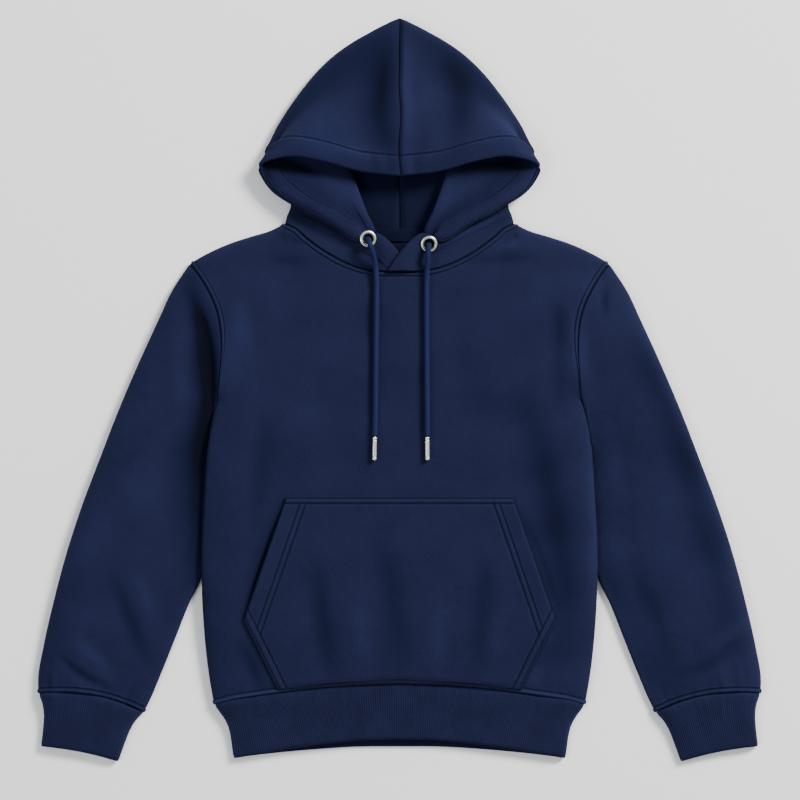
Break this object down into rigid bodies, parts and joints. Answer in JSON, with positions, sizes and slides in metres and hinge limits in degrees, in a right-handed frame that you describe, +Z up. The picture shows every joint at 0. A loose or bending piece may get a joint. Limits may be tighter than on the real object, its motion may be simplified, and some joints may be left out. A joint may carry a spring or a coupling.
{
  "type": "pullover hoodie",
  "caption": "Pullover hoodie in brushed fleece, laid flat, with a hood, drawcord ends, a front pocket and ribbed hem and cuffs.",
  "frame": {"origin": "on the surface the garment lies on, under the centre of its footprint", "axes": "+X across the chest towards the sleeve on the right as seen from above, +Y from the hem to the hood's peak, +Z up off the surface, out of the front"},
  "size_m": [0.9236, 0.9506, 0.0404],
  "materials": {
    "brushed_fleece": "matt navy knit, brushed inside",
    "rib_knit": "matt navy rib knit",
    "neck_tape_twill": "matt navy tape",
    "cord_knit": "matt navy knitted cord",
    "nickel": "polished nickel"
  },
  "bodies": {
    "root": {"front": "brushed_fleece", "back": "brushed_fleece", "hem_rib_front": "rib_knit", "hem_rib_back": "rib_knit", "sleeve_left": "brushed_fleece", "sleeve_right": "brushed_fleece", "cuff_left": "rib_knit", "cuff_right": "rib_knit", "hood_left": "brushed_fleece", "hood_right": "brushed_fleece", "pocket": "brushed_fleece", "neck_tape": "neck_tape_twill", "eyelet_left": "nickel", "eyelet_right": "nickel", "cord_left": "cord_knit", "cord_right": "cord_knit", "aglet_left": "nickel", "aglet_right": "nickel"}
  },
  "joints": []
}
